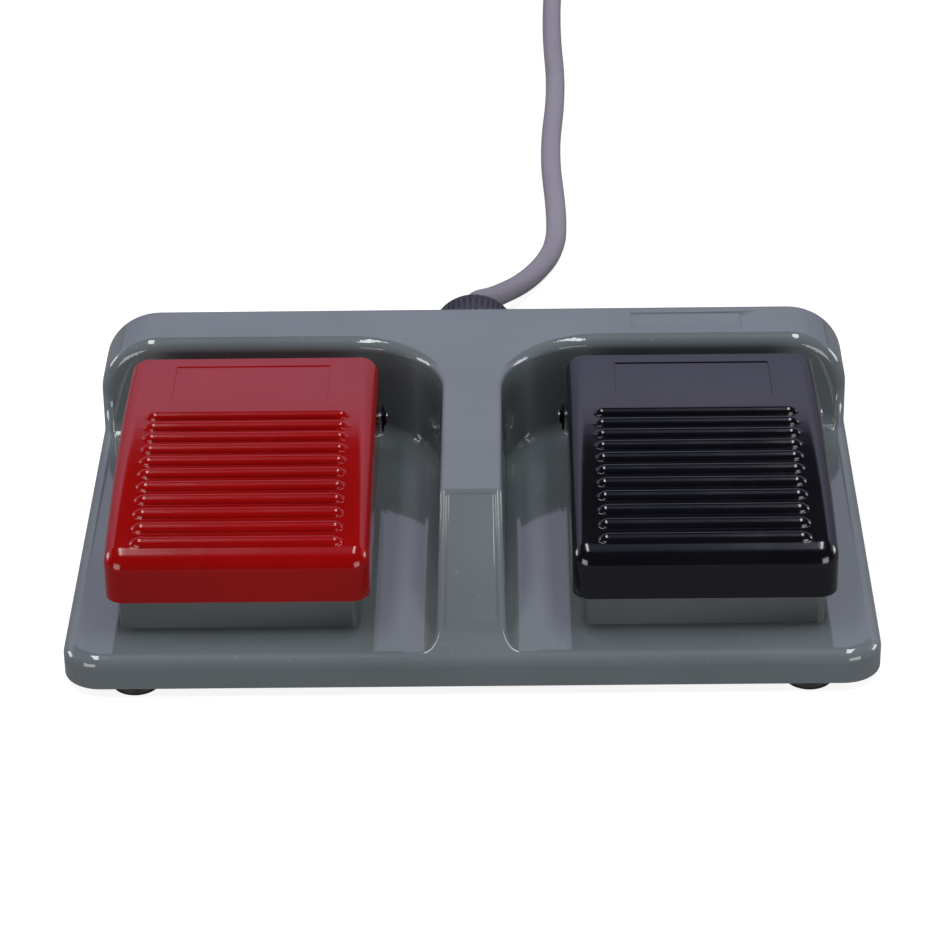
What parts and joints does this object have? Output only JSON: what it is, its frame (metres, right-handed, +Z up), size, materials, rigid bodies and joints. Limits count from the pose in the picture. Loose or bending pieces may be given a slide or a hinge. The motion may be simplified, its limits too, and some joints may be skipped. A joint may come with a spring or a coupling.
{
  "type": "twin foot pedal switch",
  "caption": "Twin foot pedal switch: ribbed pedals hinged over switch bases on a moulded tray with an arched hood and a dividing rail, with a cable gland and a lead at the back.",
  "frame": {"origin": "centre of the tray's footprint, on the surface the feet stand on", "axes": "+X to the right across both pedals, +Y from the toe edge to the cable, +Z up"},
  "size_m": [0.21, 0.5552, 0.0438],
  "materials": {
    "housing_plastic": "gloss",
    "red_plastic": "gloss",
    "black_plastic": "gloss",
    "base_plastic": "satin",
    "plate_plastic": "satin",
    "foot_rubber": "matt",
    "pin_steel": "satin",
    "zinc_steel": "satin",
    "spring_steel": "satin",
    "switch_case": "satin",
    "plunger_plastic": "satin",
    "terminal_metal": "satin",
    "lead_pvc": "matt",
    "gland_plastic": "satin",
    "seal_rubber": "matt",
    "cable_pvc": "satin",
    "tie_plastic": "satin",
    "core_pvc": "satin",
    "tinned_copper": "satin"
  },
  "bodies": {
    "switch_housing": {"housing": "housing_plastic", "bottom_plate": "plate_plastic", "plate_screws": "zinc_steel", "gland_body": "gland_plastic", "gland_locknut": "gland_plastic", "gland_seal": "seal_rubber", "gland_nut": "gland_plastic", "cable_inner_end": "cable_pvc", "cable": "cable_pvc", "cable_coil": "cable_pvc", "cable_tie": "tie_plastic", "cable_cores": "core_pvc", "core_tips": "tinned_copper", "foot_front_left": "foot_rubber", "foot_front_right": "foot_rubber", "foot_rear_left": "foot_rubber", "foot_rear_right": "foot_rubber", "left_switch_base": "base_plastic", "left_base_screws": "zinc_steel", "left_pivot_pin": "pin_steel", "left_pivot_clips": "zinc_steel", "left_return_spring": "spring_steel", "left_microswitch_case": "switch_case", "left_microswitch_terminals": "terminal_metal", "left_microswitch_screws": "zinc_steel", "left_switch_leads": "lead_pvc", "right_switch_base": "base_plastic", "right_base_screws": "zinc_steel", "right_pivot_pin": "pin_steel", "right_pivot_clips": "zinc_steel", "right_return_spring": "spring_steel", "right_microswitch_case": "switch_case", "right_microswitch_terminals": "terminal_metal", "right_microswitch_screws": "zinc_steel", "right_switch_leads": "lead_pvc"},
    "left_pedal_body": {"left_pedal": "red_plastic"},
    "left_plunger_body": {"left_microswitch_plunger": "plunger_plastic"},
    "right_pedal_body": {"right_pedal": "black_plastic"},
    "right_plunger_body": {"right_microswitch_plunger": "plunger_plastic"}
  },
  "joints": [
    {"name": "left_pedal_press", "type": "hinge", "parent": "switch_housing", "child": "left_pedal_body", "pos_m": [-0.05985, 0.03105, 0.0246], "axis": [1, 0, 0], "range_deg": [0, 5], "stiffness_Nm_per_rad": 8, "springref_deg": -4.58, "deforming": ["left_return_spring"]},
    {"name": "left_plunger_travel", "type": "slide", "parent": "switch_housing", "child": "left_plunger_body", "axis": [0, 0, -1], "range_m": [0, 0.0016]},
    {"name": "right_pedal_press", "type": "hinge", "parent": "switch_housing", "child": "right_pedal_body", "pos_m": [0.05985, 0.03105, 0.0246], "axis": [1, 0, 0], "range_deg": [0, 5], "stiffness_Nm_per_rad": 8, "springref_deg": -4.58, "deforming": ["right_return_spring"]},
    {"name": "right_plunger_travel", "type": "slide", "parent": "switch_housing", "child": "right_plunger_body", "axis": [0, 0, -1], "range_m": [0, 0.0016]}
  ],
  "couplings": [
    {"joint": "left_plunger_travel", "follows": "left_pedal_press", "m_per_rad": 0.0183},
    {"joint": "right_plunger_travel", "follows": "right_pedal_press", "m_per_rad": 0.0183}
  ]
}
